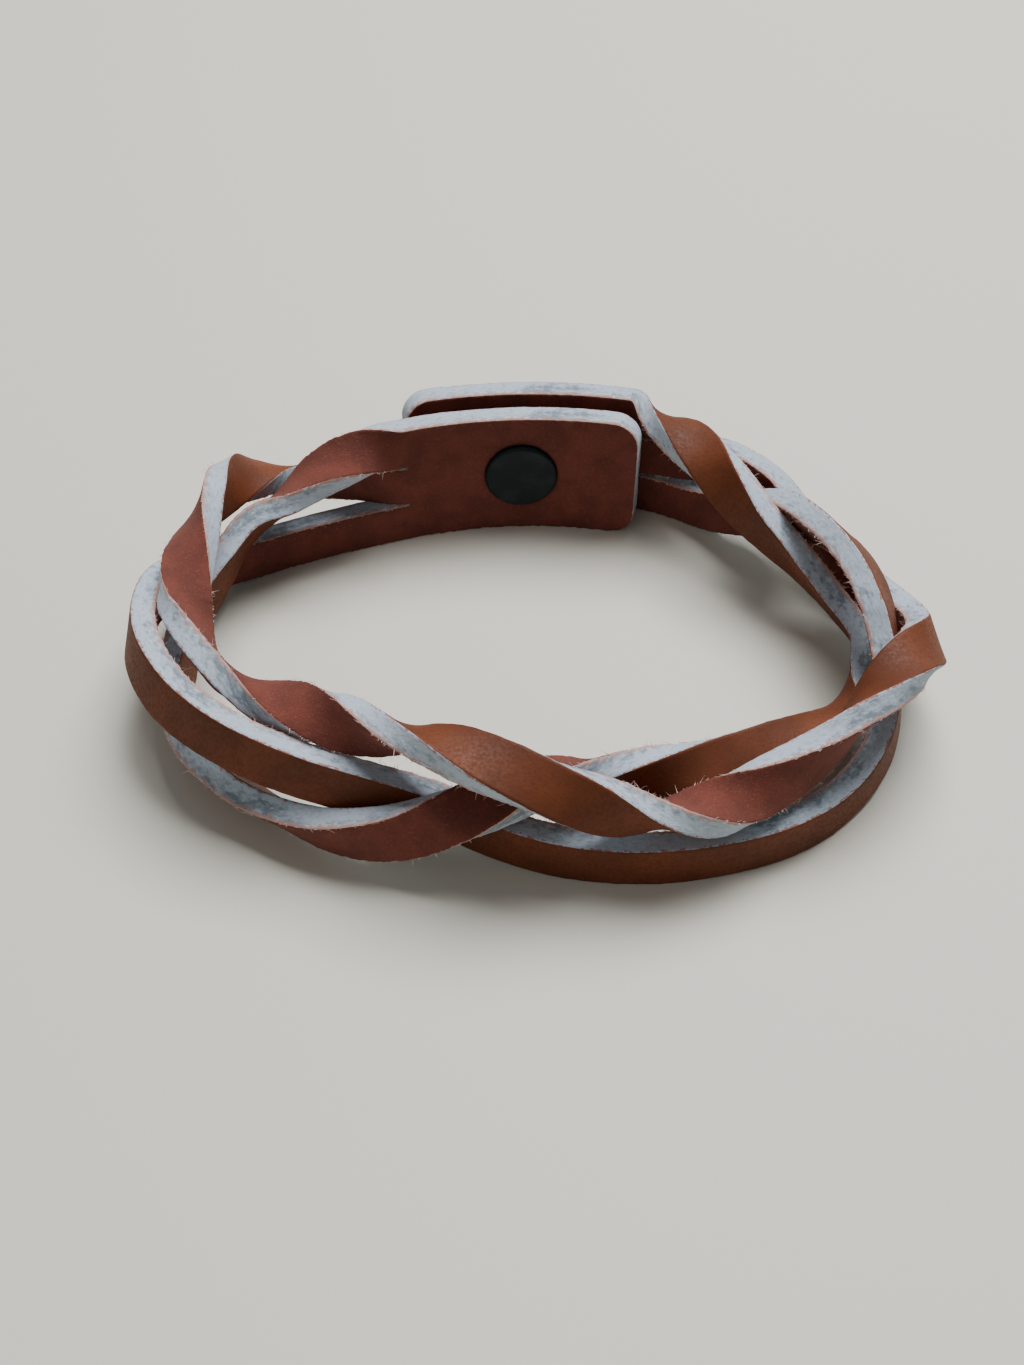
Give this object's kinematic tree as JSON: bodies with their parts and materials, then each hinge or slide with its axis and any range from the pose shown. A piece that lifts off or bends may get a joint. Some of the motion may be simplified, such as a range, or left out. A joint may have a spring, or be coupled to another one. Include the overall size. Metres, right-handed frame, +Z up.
{
  "type": "braided leather bracelet",
  "caption": "Braided leather bracelet: one slit strap plaited into a closed ring, with overlapping end tabs held by a metal snap.",
  "frame": {"origin": "on the floor, under the middle of the closed ring's bounding box", "axes": "+Z up through the wrist opening, +X along the ring's longer way, +Y towards the tabs and the snap"},
  "size_m": [0.0721, 0.053, 0.0141],
  "materials": {
    "leather": "satin",
    "snap_metal": "satin",
    "spring_wire": "bright"
  },
  "bodies": {
    "band": {"strand_top": "leather", "strand_middle": "leather", "strand_bottom": "leather"},
    "inner_tab_body": {"inner_tab": "leather", "stud": "snap_metal", "back_disc": "snap_metal"},
    "outer_tab_body": {"outer_tab": "leather", "cap": "snap_metal", "socket": "snap_metal", "socket_spring": "spring_wire"}
  },
  "joints": [
    {"name": "outer_tab_flex", "type": "hinge", "parent": "band", "child": "outer_tab_body", "pos_m": [0.00981, 0.02482, 0.0067], "axis": [0, 0, -1], "range_deg": [0, 70], "stiffness_Nm_per_rad": 0.003},
    {"name": "inner_tab_flex", "type": "hinge", "parent": "band", "child": "inner_tab_body", "pos_m": [-0.01187, 0.01761, 0.0067], "axis": [0, 0, -1], "range_deg": [0, 45], "stiffness_Nm_per_rad": 0.003}
  ]
}
